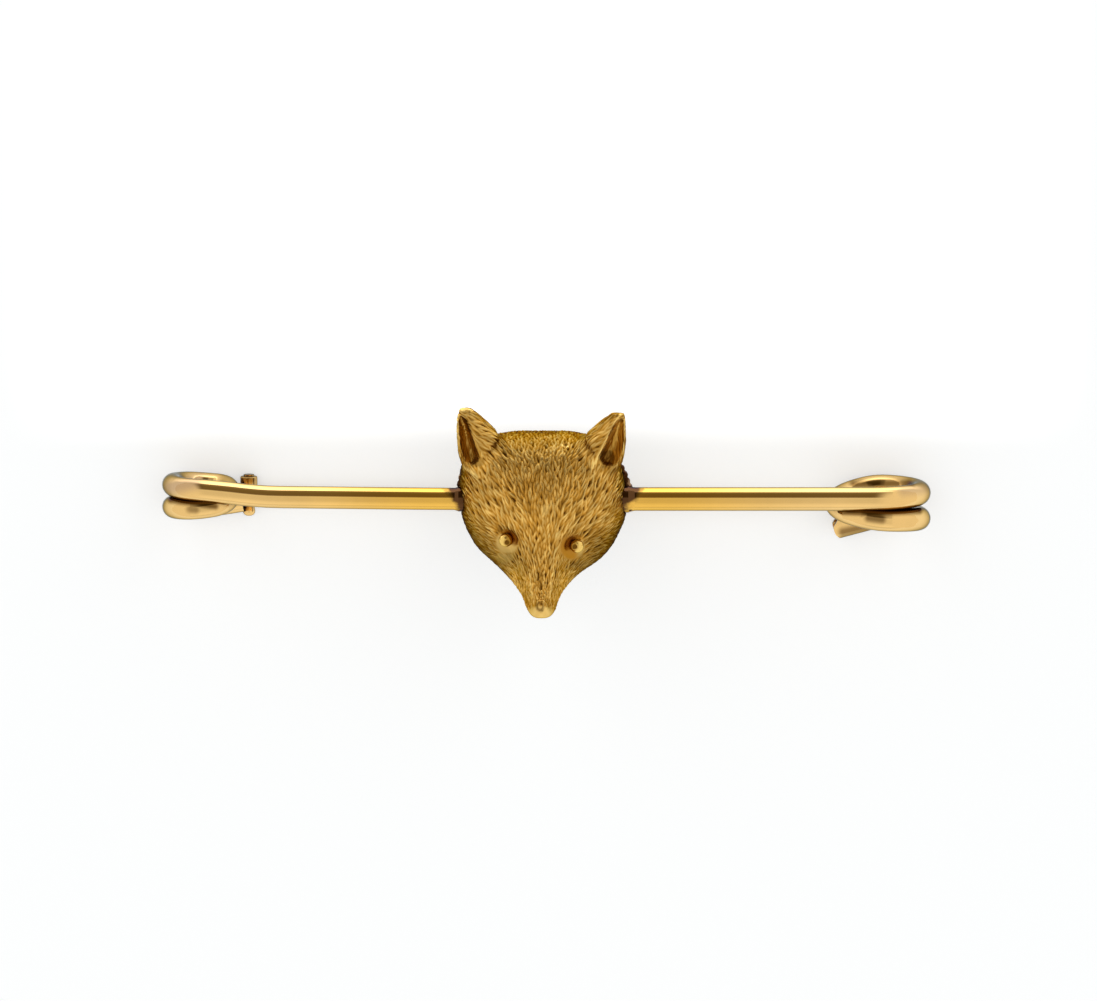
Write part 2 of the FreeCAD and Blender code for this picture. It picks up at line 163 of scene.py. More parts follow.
def makeSky():
    world = bpy.data.worlds.new("studioSky")
    bpy.context.scene.world = world
    world.use_nodes = True
    tree = world.node_tree
    tree.nodes.clear()
    way = addNode(tree, "ShaderNodeTexCoord", (-1100, 0))
    parts = addNode(tree, "ShaderNodeSeparateXYZ", (-900, 0))
    tree.links.new(way.outputs["Generated"], parts.inputs[0])
    angle = maths(tree, "ARCTAN2", parts.outputs["Y"], parts.outputs["Z"], (-700, 0))
    share = mapRange(tree, angle, -math.pi, math.pi, 0.0, 1.0, (-500, 0))
    ramp = addNode(tree, "ShaderNodeValToRGB", (-300, 0))
    top = max(max(colour) for _, *colour in skyRows)
    bands = ramp.color_ramp
    while len(bands.elements) > 1:
        bands.elements.remove(bands.elements[-1])
    for number, (degrees, *colour) in enumerate(skyRows):
        place = (degrees + 180) / 360
        band = bands.elements[0] if number == 0 else bands.elements.new(place)
        band.position = place
        band.color = [value / top for value in colour] + [1]
    tree.links.new(share, ramp.inputs[0])
    aside = maths(tree, "ABSOLUTE", parts.outputs["X"], 0.0, (-700, -200))
    side = mapRange(tree, aside, studio["sideFrom"], studio["sideTo"], 0.0, 1.0, (-500, -200), smooth=True)
    sideColour = tuple(value / top for value in studio["sideColour"])
    colour = mixColours(tree, side, ramp.outputs[0], sideColour, (0, 0))
    sky = addNode(tree, "ShaderNodeBackground", (200, 0), Strength=studio["skyStrength"] * top)
    out = addNode(tree, "ShaderNodeOutputWorld", (400, 0))
    tree.links.new(colour, sky.inputs["Color"])
    tree.links.new(sky.outputs[0], out.inputs[0])


def makeFloor():
    edge = studio["floorSize"] / 2
    corners = [(-edge, -edge, 0), (edge, -edge, 0), (edge, edge, 0), (-edge, edge, 0)]
    mesh = bpy.data.meshes.new("floor")
    mesh.from_pydata(corners, [], [(0, 1, 2, 3)])
    floor = bpy.data.objects.new("floor", mesh)
    bpy.context.scene.collection.objects.link(floor)
    material = bpy.data.materials.new("palePaper")
    material.use_nodes = True
    tree = material.node_tree
    shader = tree.nodes["Principled BSDF"]
    shader.inputs["Base Color"].default_value = (*studio["floorColour"], 1)
    shader.inputs["Roughness"].default_value = 0.9
    shader.inputs["Specular IOR Level"].default_value = 0.0
    shader.inputs["Emission Color"].default_value = (1, 0.998, 0.99, 1)
    place = addNode(tree, "ShaderNodeTexCoord", (-900, -200))
    parts = addNode(tree, "ShaderNodeSeparateXYZ", (-700, -200))
    tree.links.new(place.outputs["Object"], parts.inputs[0])
    full = studio["backGlow"]
    start = studio["backGlowFrom"]
    whole = studio["backGlowTo"]
    behind = mapRange(tree, parts.outputs["Y"], start, whole, 0.0, full, (-500, -200), smooth=True)
    aside = maths(tree, "ABSOLUTE", parts.outputs["X"], 0.0, (-500, -400))
    half = studio["backGlowHalf"]
    faded = studio["backGlowFaded"]
    inside = mapRange(tree, aside, half, faded, 1.0, 0.0, (-350, -400), smooth=True)
    extra = maths(tree, "MULTIPLY", behind, inside, (-200, -200))
    glow = maths(tree, "ADD", extra, studio["floorGlow"], (-50, -200))
    tree.links.new(glow, shader.inputs["Emission Strength"])
    mesh.materials.append(material)


print("stage: camera, sky and floor")
makeCamera()
makeSky()
makeFloor()

# The fox's head. Lengths in millimetres; across and up are measured as the camera sees the head,
# from the middle of the bar, across to the right and up towards the ears
fox = {
    "voxel": 0.05,
    "mostTriangles": 190000,
    "middle": -0.38,                      # across of the nose
    "seed": 7,
    "tuftRelief": 0.125,
    "tuftLong": 0.80,                     # scales the lengths and widths of the table below
    "tuftWide": 0.86,
    "tuftOverlap": 0.62,                  # spacing end to end, as a share of a tuft's length
    "tuftGap": 0.92,                      # spacing side by side, in tuft widths
    "tuftApart": 0.4,                     # spacing from the skin outwards
    "tuftHalf": 0.64,                     # half width of a tuft's ridge, in tuft widths
    "tuftSwing": 10,                      # how much the tufts' ways differ, degrees
    "tuftLengths": (0.75, 1.3),           # ranges of their lengths, widths, bends and heights
    "tuftWidths": (0.85, 1.2),
    "tuftBends": (-0.25, 0.25),
    "tuftHeights": (0.65, 1.0),
    "tries": 90000,
    "sunk": 0.45,                         # how much of the fur is cut into the skin
    "eyeRadius": 0.52,
    "pupilRadius": 0.27,
    "pupilDepth": 0.12,
    "socketFill": 0.8,                    # share of the sockets' depth that is filled
    "foldDepth": 0.035,                   # a fold sharper than this is softened
    "foldReach": 160,                     # how far round a fold, and how long, the skin is smoothed
    "foldRounds": 1100,
    "hollowRounds": 500,
    "hollowFill": 0.45,                   # share of the ear hollows' depth that is filled
    "litRelief": 0.03,                    # how far the raised edges stand out
}
# How the fur lies and how large its tufts are: across, up, the way it runs in degrees from across,
# length, width
furRows = (
    (-0.4, -7.4, 90, 0.34, 0.20),         # muzzle
    (-1.2, -6.9, 97, 0.38, 0.20),
    (0.4, -6.9, 83, 0.38, 0.20),
    (-0.4, -5.6, 90, 0.46, 0.23),
    (-1.5, -5.3, 108, 0.55, 0.24),
    (0.8, -5.3, 72, 0.55, 0.24),
    (-0.4, -3.6, 90, 0.55, 0.24),         # between the eyes
    (-1.9, -3.5, 112, 0.65, 0.25),
    (1.0, -3.5, 70, 0.65, 0.25),
    (0.0, -0.6, 92, 0.70, 0.26),          # forehead
    (-2.3, -1.4, 116, 0.80, 0.27),
    (-4.5, -0.3, 124, 0.85, 0.28),
    (-3.6, 1.4, 112, 0.80, 0.27),
    (-5.3, 1.4, 118, 0.75, 0.27),
    (1.8, -1.2, 63, 0.80, 0.27),
    (3.0, -0.3, 60, 0.85, 0.28),
    (4.0, 0.8, 66, 0.80, 0.27),
    (2.9, 1.9, 72, 0.80, 0.27),
    (5.2, -0.3, 55, 0.75, 0.27),
    (-0.4, 1.8, 90, 0.65, 0.26),          # crown
    (-0.4, 4.0, 90, 0.48, 0.23),
    (-2.6, 4.2, 104, 0.48, 0.23),
    (1.7, 4.2, 76, 0.48, 0.23),
    (-5.0, -2.6, 146, 0.70, 0.26),        # cheeks
    (-4.2, -4.2, 150, 0.60, 0.25),
    (-2.8, -5.2, 132, 0.55, 0.25),
    (2.9, -2.0, 44, 0.80, 0.27),
    (4.2, -3.1, 21, 0.70, 0.27),
    (4.6, -1.6, 38, 0.75, 0.27),
    (3.5, -4.7, 27, 0.60, 0.25),
    (2.2, -5.5, 50, 0.55, 0.25),
    (-5.5, 5.8, 150, 1.10, 0.24),         # ears
    (-4.2, 4.7, 150, 1.10, 0.24),
    (-3.2, 3.6, 136, 0.85, 0.25),
    (-5.9, 6.5, 150, 0.90, 0.23),
    (4.7, 5.6, 37, 1.15, 0.24),
    (3.4, 4.6, 36, 1.15, 0.24),
    (2.5, 3.7, 52, 0.90, 0.25),
    (-5.9, 3.6, 100, 0.80, 0.24),         # the ears' hollows
    (5.4, 4.4, 86, 0.90, 0.24),
)
# Smooth places besides the eyes' sockets: across, up, half width, half height, how smooth
smoothRows = (
    (-3.10, -4.35, 0.70, 0.50, 0.7),      # under the eyes
    (2.70, -4.55, 0.60, 0.35, 0.4),
    (-0.45, -8.62, 1.20, 0.72, 1.0),      # nose pad
    (-0.10, -0.85, 0.26, 0.40, 0.7),      # forehead
)
# Eyes: the middle of the ball (across, Y and height), its pupil, across and up from there, the sides on which
# its glint is painted and on which its socket is painted dark as shade, and its socket: across, up, half
# width, half height
eyeRows = (
    {
        "ball": (-3.05, -2.115, 10.42),
        "pupil": (0.12, -0.20),
        "glint": (-0.95, -0.30),
        "paintedDark": (0.60, 0.80),
        "socket": (-2.94, -3.26, 0.92, 0.90),
    },
    {
        "ball": (2.28, -2.579, 10.34),
        "pupil": (-0.19, -0.05),
        "glint": (0.90, -0.42),
        "paintedDark": (-0.95, -0.30),
        "socket": (1.93, -3.60, 0.98, 0.98),
    },
)
# The skin round a socket, as a circle over its middle, and which rings of it are filled and measured
socketRing = {
    "across": 0.08,
    "up": 0.34,
    "radius": 0.80,
    "filledTo": 1.0,
    "untouchedFrom": 1.35,
    "skinFrom": 1.25,
    "skinTo": 1.65,
    "behindBall": 1.6,                    # nothing further back than this is touched
}
# Dents: across, up, radius, depth
dentRows = (
    (-3.35, -2.20, 0.30, 0.10),           # brow over the left eye
    (-0.45, 3.55, 0.20, 0.05),            # crown
    (1.40, 3.98, 0.16, 0.12),
)
# The mark on the nose is a ring
noseMark = {"across": -0.49, "up": -7.98, "tall": 0.85, "radius": 0.24, "width": 0.10, "depth": 0.07}
# Painted shade: across, up, half width, half height, how dark
paintedShadePlaces = (
    (4.55, 3.05, 0.62, 0.60, 1.0),        # foot of the right ear's hollow
    (4.75, 2.35, 0.60, 0.45, 0.35),
    (-5.05, 2.75, 0.45, 0.35, 0.55),      # foot of the left ear's hollow
    (-3.30, -2.25, 0.38, 0.30, 0.55),     # brow over the left eye
)
# Raised edges and strands, also painted as highlights: half width, strength, then the places that each one
# runs through
raisedHighlightRows = (
    (0.10, 1.0, (-6.50, 6.74), (-6.05, 6.80), (-5.55, 6.58)),      # tip of the left ear
    (0.07, 0.7, (-6.66, 6.30), (-6.66, 5.20), (-6.60, 4.20), (-6.42, 3.20)),
    (0.12, 0.9, (-6.25, 2.42), (-5.75, 2.10), (-5.10, 1.60)),      # strand under its hollow
    (0.09, 0.9, (5.54, 6.40), (4.89, 4.96), (4.34, 4.00), (3.50, 2.32)),
    (0.06, 0.6, (5.80, 5.90), (5.86, 4.60), (5.74, 3.20)),
    (0.07, 0.8, (1.17, 4.02), (1.62, 3.90)),                       # crown
    (0.09, 0.5, (0.85, -2.30), (0.80, -2.90), (0.65, -3.70), (0.55, -4.40)),
    (0.08, 0.4, (-1.22, -5.60), (-1.18, -6.40), (-1.05, -7.30)),   # muzzle
    (0.08, 0.4, (0.45, -5.60), (0.36, -6.40), (0.22, -7.30)),
)
# The ears' hollows, from the tip down: up, left edge, right edge
leftHollowRows = (
    (6.35, -6.62, -6.40),
    (5.80, -6.53, -6.05),
    (4.60, -6.47, -5.55),
    (3.40, -6.15, -4.95),
    (2.50, -5.95, -4.55),
)
rightHollowRows = (
    (6.25, 5.45, 5.70),
    (5.00, 4.86, 5.78),
    (4.00, 4.36, 5.72),
    (3.30, 4.05, 5.62),
    (2.45, 3.85, 5.20),
)


def meshArrays(mesh):
    places = np.empty(len(mesh.vertices) * 3, np.float32)
    normals = np.empty(len(mesh.vertices) * 3, np.float32)
    edges = np.empty(len(mesh.edges) * 2, np.int32)
    mesh.vertices.foreach_get("co", places)
    mesh.vertex_normals.foreach_get("vector", normals)
    mesh.edges.foreach_get("vertices", edges)
    places = places.reshape(-1, 3).astype(float)
    normals = normals.reshape(-1, 3).astype(float)
    return places, normals, edges.reshape(-1, 2)


def setPlaces(mesh, places):
    mesh.vertices.foreach_set("co", places.astype(np.float32).ravel())
    mesh.update()


def smoothed(values, edges, weight, rounds):
    # Averages each point with its neighbours, by its weight
    count = np.bincount(edges.ravel(), minlength=len(values)).astype(float)
    count[count == 0] = 1
    values = values.copy()
    for _ in range(rounds):
        total = np.zeros_like(values)
        for axis in range(values.shape[1]):
            total[:, axis] += np.bincount(edges[:, 0], values[edges[:, 1], axis], len(values))
            total[:, axis] += np.bincount(edges[:, 1], values[edges[:, 0], axis], len(values))
        values += (total / count[:, None] - values) * weight[:, None]
    return values


def smoothedNear(places, edges, weight, rounds):
    # The same for a few places on a large skin: only the points round them take part, which keeps it quick
    near = weight > 0.001
    near[edges[near[edges].any(1)].ravel()] = True
    inner = np.flatnonzero(near)
    number = np.full(len(places), -1)
    number[inner] = np.arange(len(inner))
    local = number[edges]
    local = local[(local >= 0).all(1)]
    places = places.copy()
    places[inner] = smoothed(places[inner], local, weight[inner], rounds)
    return places


def remeshInto(piece, voxel):
    # Links the object and gives it one even skin over its mesh
    bpy.context.scene.collection.objects.link(piece)
    remesh = piece.modifiers.new("skin", "REMESH")
    remesh.mode = "VOXEL"
    remesh.voxel_size = voxel
    evaluated = piece.evaluated_get(bpy.context.evaluated_depsgraph_get())
    skin = bpy.data.meshes.new_from_object(evaluated)
    piece.modifiers.clear()
    piece.data = skin


def remeshedHead():
    # An even skin over the CAD head, in millimetres
    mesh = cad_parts["fox_head"].data.copy()
    mesh.transform(Matrix.Scale(1000, 4))
    build = bmesh.new()
    build.from_mesh(mesh)
    bmesh.ops.remove_doubles(build, verts=build.verts, dist=0.0005)
    build.to_mesh(mesh)
    build.free()
    head = bpy.data.objects.new("foxHeadFur", mesh)
    remeshInto(head, fox["voxel"])
    return head


def seenPlaces(places):
    # Across and up of each point, as the camera sees it
    offset = places - np.array(view["barAxis"]) * 1000
    return offset @ np.array(viewRight), offset @ np.array(viewUp)


def softStep(low, high, value):
    share = np.clip((value - low) / (high - low), 0, 1)
    return share * share * (3 - 2 * share)


def hollowMask(across, up, rows):
    # 1 inside an ear's hollow, falling to 0 over its edge
    ups, lefts, rights = np.array(rows)[::-1].T
    left = np.interp(up, ups, lefts)
    right = np.interp(up, ups, rights)
    inside = softStep(-0.08, 0.08, across - left) * softStep(-0.08, 0.08, right - across)
    foot = softStep(ups[0] - 0.15, ups[0] + 0.15, up)
    tip = 1 - softStep(ups[-1] - 0.1, ups[-1] + 0.1, up)
    return inside * foot * tip


def spotMask(across, up, spot, grow=1.0):
    x, y, halfWidth, halfHeight = spot
    away = np.sqrt(((across - x) / (halfWidth * grow)) ** 2 + ((up - y) / (halfHeight * grow)) ** 2)
    return 1 - softStep(0.8, 1.15, away)


def smoothedMask(mask, edges, weight, rounds):
    return smoothed(mask[:, None].astype(float), edges, np.full(len(mask), weight), rounds)[:, 0]


def furField(across, up):
    # Way, length and width of the fur at each place, blended from the rows of the fur table
    rowAcross, rowUp, angle, rowLength, rowWidth = np.array(furRows).T
    away = (across[:, None] - rowAcross) ** 2 + (up[:, None] - rowUp) ** 2
    pull = 1 / (away + 0.15) ** 2
    pull /= pull.sum(1)[:, None]
    turn = np.radians(angle)
    way = np.stack([pull @ np.cos(turn), pull @ np.sin(turn)], 1)
    way /= np.linalg.norm(way, axis=1)[:, None]
    return way, pull @ rowLength * fox["tuftLong"], pull @ rowWidth * fox["tuftWide"]


def layOnSkin(way, normal):
    # Turns a way that the camera sees into one along the skin
    lie = way[:, :1] * np.array(viewRight) + way[:, 1:] * np.array(viewUp)
    slope = np.maximum(normal @ np.array(viewBack), 0.35)
    lie = lie - np.array(viewBack) * ((lie * normal).sum(1) / slope)[:, None]
    lie -= normal * (lie * normal).sum(1)[:, None]
    lie /= np.linalg.norm(lie, axis=1)[:, None]
    return lie


def tuftSeeds(places, normals, across, up, furry):
    # Evenly spread roots for the tufts: closer side by side than end to end
    rng = np.random.default_rng(fox["seed"])
    able = np.flatnonzero(furry > 0.3)
    order = rng.permutation(able)[: fox["tries"]]
    way, length, width = furField(across[order], up[order])
    normal = normals[order]
    lie = layOnSkin(way, normal)
    swing = np.radians(rng.normal(0, fox["tuftSwing"], len(order)))
    side = np.cross(normal, lie)
    lie = lie * np.cos(swing)[:, None] + side * np.sin(swing)[:, None]
    side = np.cross(normal, lie)
    length = length * rng.uniform(*fox["tuftLengths"], len(order))
    width = width * rng.uniform(*fox["tuftWidths"], len(order))
    # A grid of cells, each as wide as two tufts are ever apart, finds the neighbours
    cell = 0.75
    steps = [(dx, dy, dz) for dx in (-1, 0, 1) for dy in (-1, 0, 1) for dz in (-1, 0, 1)]
    grid = {}
    spots = places[order]
    keys = np.floor(spots / cell).astype(int)
    chosen = []
    for number, (x, y, z) in enumerate(keys):
        near = []
        for dx, dy, dz in steps:
            near += grid.get((x + dx, y + dy, z + dz), ())
        if near:
            gap = spots[near] - spots[number]
            along = gap @ lie[number] / (length[number] * fox["tuftOverlap"])
            beside = gap @ side[number] / (width[number] * fox["tuftGap"])
            rise = gap @ normal[number] / fox["tuftApart"]
            if (along**2 + beside**2 + rise**2).min() < 1:
                continue
        grid.setdefault((x, y, z), []).append(number)
        chosen.append(number)
    return spots[chosen], normal[chosen], lie[chosen], side[chosen], length[chosen], width[chosen]


def combFur(places, normals, seeds):
    # Height of the fur at each point, and the tone of the tuft that it belongs to
    tree = kdtree.KDTree(len(places))
    for number, place in enumerate(places):
        tree.insert(place, number)
    tree.balance()
    height = np.zeros(len(places))
    tone = np.full(len(places), 0.5)
    rng = np.random.default_rng(fox["seed"] + 1)
    for root, normal, lie, side, length, width in zip(*seeds):
        index = np.array([item[1] for item in tree.find_range(root, length)])
        gap = places[index] - root
        along = gap @ lie / length
        reach = np.clip(1 - along**2, 0, 1)
        bend = rng.uniform(*fox["tuftBends"])
        beside = gap @ side / width - bend * along
        # The ridge is wider at the root than at the tip, and higher at the tip
        half = fox["tuftHalf"] * np.sqrt(reach) * (1 - 0.3 * along)
        inside = np.clip(1 - (beside / np.maximum(half, 0.05)) ** 2, 0, 1)
        facing = normals[index] @ normal > 0.2
        rise = inside**0.9 * (0.4 + 0.6 * softStep(-1, 0.6, along)) * reach**0.3 * facing
        rise *= rng.uniform(*fox["tuftHeights"])
        shade = rng.uniform(0, 1)
        better = rise > height[index]
        height[index[better]] = rise[better]
        tone[index[better]] = shade
    return height, tone


def softenCreases(places, normals, edges, across, up, keep):
    # Fills the sharp folds where the ears and the nose meet the skull, and says where it did
    count = np.bincount(edges.ravel(), minlength=len(places)).astype(float)
    soft = smoothed(places, edges, np.full(len(places), 0.5), 3)
    middle = np.zeros_like(soft)
    for axis in range(3):
        middle[:, axis] += np.bincount(edges[:, 0], soft[edges[:, 1], axis], len(soft))
        middle[:, axis] += np.bincount(edges[:, 1], soft[edges[:, 0], axis], len(soft))
    fold = ((middle / count[:, None] - soft) * normals).sum(1) / fox["voxel"]
    ears = softStep(1.6, 2.1, np.abs(across - fox["middle"])) * softStep(1.0, 1.6, up)
    nose = 1 - softStep(-7.2, -6.8, up)
    mask = (fold > fox["foldDepth"]) * np.maximum(ears, nose) * keep
    spread = smoothedMask(mask, edges, 0.6, fox["foldReach"])
    spread = np.clip(spread * 9, 0, 1) * keep
    return smoothedNear(places, edges, spread * 0.8, fox["foldRounds"]), spread


def fillSockets(places, normals, across, up):
    # Raises the sockets' floors towards the skin round them, and leaves the head's inner wall alone
    back = np.array(viewBack)
    facing = normals @ back
    places = places.copy()
    for eye in eyeRows:
        ball = np.array(eye["ball"])
        gapAcross = across - eye["socket"][0] - socketRing["across"]
        gapUp = up - eye["socket"][1] - socketRing["up"]
        ring = np.hypot(gapAcross, gapUp) / socketRing["radius"]
        front = places[:, 2] > ball[2] - socketRing["behindBall"]
        skin = (ring > socketRing["skinFrom"]) & (ring < socketRing["skinTo"]) & front & (facing > 0.5)
        # A plane through the skin round the socket
        grid = np.stack([across[skin], up[skin], np.ones(skin.sum())], 1)
        heights = places[skin] @ back
        plane = np.linalg.lstsq(grid, heights, rcond=None)[0]
        level = across * plane[0] + up * plane[1] + plane[2]
        depth = np.clip(level - places @ back, 0, 2)
        away = np.linalg.norm(places - ball, axis=1)
        outOfBall = softStep(fox["eyeRadius"] + 0.01, fox["eyeRadius"] + 0.10, away)
        part = outOfBall * front * (facing > -0.15)
        inRing = 1 - softStep(socketRing["filledTo"], socketRing["untouchedFrom"], ring)
        part = part * inRing * fox["socketFill"]
        places += back * (depth * part)[:, None]
    return places


def shapeEyes(places, across, up):
    # Punches the pupils and says which points are ball, painted glint, socket with its painted shade, and
    # pupil
    back = np.array(viewBack)
    masks = {name: np.zeros(len(places)) for name in ("ball", "glint", "socket", "pupil")}

    def add(name, values):
        masks[name] = np.maximum(masks[name], values)

    for eye in eyeRows:
        centre = np.array(eye["ball"])
        pupilAcross, pupilUp = eye["pupil"]
        away = np.linalg.norm(places - centre, axis=1)
        near = 1 - softStep(fox["eyeRadius"] + 0.03, fox["eyeRadius"] + 0.08, away)
        look = np.array(viewRight) * pupilAcross + np.array(viewUp) * pupilUp
        depth = math.sqrt(fox["eyeRadius"] ** 2 - pupilAcross**2 - pupilUp**2)
        mark = centre + look + back * depth
        spot = 1 - softStep(0.45, 1.0, np.linalg.norm(places - mark, axis=1) / fox["pupilRadius"])
        ballAcross, ballUp = seenPlaces(centre[None, :])
        gapAcross = across - ballAcross
        gapUp = up - ballUp
        # A glint is painted on the ball on one side of its pupil, and shade is painted on the socket on one
        # side of the ball
        fromPupil = np.hypot(gapAcross - pupilAcross, gapUp - pupilUp)
        fromPupil = np.maximum(fromPupil, 0.05)
        glintAcross, glintUp = eye["glint"]
        shine = ((gapAcross - pupilAcross) * glintAcross + (gapUp - pupilUp) * glintUp) / fromPupil
        paintedHighlight = softStep(-0.30, 0.45, shine) * softStep(0.12, 0.36, fromPupil)
        darkAcross, darkUp = eye["paintedDark"]
        side = (gapAcross * darkAcross + gapUp * darkUp) / np.maximum(np.hypot(gapAcross, gapUp), 0.05)
        paintedDark = 0.15 + 0.85 * softStep(-0.2, 0.7, side)
        places = places - back * (spot * near * fox["pupilDepth"])[:, None]
        add("ball", near)
        add("pupil", spot * near)
        add("glint", near * paintedHighlight)
        add("socket", spotMask(across, up, eye["socket"]) * (1 - near) * paintedDark)
    return places, masks


def cutDents(places, normals, across, up):
    # Cuts the dents and the mark on the nose, and says which points are painted dark as shade: the dents, the
    # ring and the places of painted shade
    paintedDark = np.zeros(len(places))
    front = normals[:, 2] > 0.1
    for x, y, radius, depth in dentRows:
        away = np.hypot(across - x, up - y) / radius
        spot = np.exp(-(away**2)) * front
        places = places - normals * (spot * depth)[:, None]
        paintedDark = np.maximum(paintedDark, spot)
    gapUp = (up - noseMark["up"]) * noseMark["tall"]
    away = np.hypot(across - noseMark["across"], gapUp) - noseMark["radius"]
    ring = np.exp(-((away / noseMark["width"]) ** 2)) * front
    places = places - normals * (ring * noseMark["depth"])[:, None]
    paintedDark = np.maximum(0.5 * paintedDark, ring)
    for *spot, share in paintedShadePlaces:
        paintedDark = np.maximum(paintedDark, spotMask(across, up, spot) * share * (normals[:, 2] > -0.2))
    return places, paintedDark


def raisedHighlights(across, up, normals):
    # 1 along the raised edges and strands, which are also painted as highlights
    paintedHighlight = np.zeros(len(across))
    for half, strength, *corners in raisedHighlightRows:
        away = np.full(len(across), 9.0)
        for (x0, y0), (x1, y1) in zip(corners[:-1], corners[1:]):
            share = ((across - x0) * (x1 - x0) + (up - y0) * (y1 - y0)) / ((x1 - x0) ** 2 + (y1 - y0) ** 2)
            share = np.clip(share, 0, 1)
            away = np.minimum(away, np.hypot(across - x0 - share * (x1 - x0), up - y0 - share * (y1 - y0)))
        paintedHighlight = np.maximum(paintedHighlight, np.exp(-((away / half) ** 2)) * strength)
    return paintedHighlight * (normals[:, 2] > 0.1)


def outsideMask(places, normals):
    # 1 on the head's outer skin, 0 in the hollow at its back
    centre = np.array([fox["middle"], 0, 1.0]) + np.array(view["barAxis"]) * 1000
    outward = places - centre
    outward /= np.linalg.norm(outward, axis=1)[:, None]
    facing = (normals * outward).sum(1)
    outside = softStep(-0.05, 0.15, facing) * softStep(-0.55, -0.25, normals[:, 2])
    return np.maximum(outside, softStep(0.1, 0.3, normals[:, 2]))


def paintedFacingShadeMask(across, up, normals):
    # Painted shade: how much darker the skin is than on the forehead, on the crown, the sides and the jaw by
    # the way they face, and on the ears
    toSide = np.abs(normals[:, 0])
    toEars = normals[:, 1]
    crown = softStep(0.32, 0.70, toEars) * (1 - 0.25 * softStep(0.85, 0.98, toEars))
    sides = 0.45 * softStep(0.20, 0.85, toSide)
    jaw = 0.75 * softStep(0.1, 0.6, -toEars) * softStep(0.1, 0.5, toSide)
    ears = 0.30 * softStep(2.0, 3.0, np.abs(across - fox["middle"])) * softStep(2.6, 3.6, up)
    skull = 0.15 + 0.85 * softStep(-6.2, -4.6, up)
    return np.clip((np.maximum(crown, ears) + sides + jaw) * skull, 0, 1)


def thinned(head, keepFine):
    # Fewer triangles, most of them taken from the back and the inside
    mesh = head.data
    triangles = 2 * len(mesh.polygons)
    if triangles <= fox["mostTriangles"]:
        return
    group = head.vertex_groups.new(name="coarse")
    levels = np.round(1 - keepFine, 1)
    for level in np.unique(levels):
        group.add(np.flatnonzero(levels == level).tolist(), float(level), "REPLACE")
    thin = head.modifiers.new("thin", "DECIMATE")
    thin.ratio = fox["mostTriangles"] / triangles
    thin.vertex_group = "coarse"
    thin.vertex_group_factor = 3.0
    evaluated = head.evaluated_get(bpy.context.evaluated_depsgraph_get())
    head.data = bpy.data.meshes.new_from_object(evaluated)
    head.modifiers.clear()
    head.vertex_groups.clear()


def finishMesh(mesh, material):
    # From millimetres to metres, shaded smooth, in one material
    mesh.transform(Matrix.Scale(0.001, 4))
    mesh.polygons.foreach_set("use_smooth", [True] * len(mesh.polygons))
    mesh.update()
    mesh.materials.clear()
    mesh.materials.append(material)


def shapeHead(places, normals, edges, masks, across, up):
    # The skin before its fur: folds softened, ear hollows and sockets partly filled, eyes made
    hollow = masks["hollow"]
    sockets = masks["sockets"]
    places = smoothed(places, edges, masks["outside"] * (1 - sockets) * 0.5, 8)
    places, filled = softenCreases(places, normals, edges, across, up, (1 - sockets) * (1 - hollow))
    wide = np.maximum(hollow, masks["inner"]) * (normals[:, 2] > -0.2)
    filledEars = smoothedNear(places, edges, wide * 0.8, fox["hollowRounds"])
    places = places + (filledEars - places) * fox["hollowFill"]
    places = smoothedNear(places, edges, wide * 0.5, 60)
    places = fillSockets(places, normals, across, up)
    places, eyes = shapeEyes(places, across, up)
    places = smoothed(places, edges, sockets * (1 - eyes["ball"]) * 0.5, 40)
    places = smoothed(places, edges, eyes["ball"] * 0.4, 5)
    return places, filled, eyes


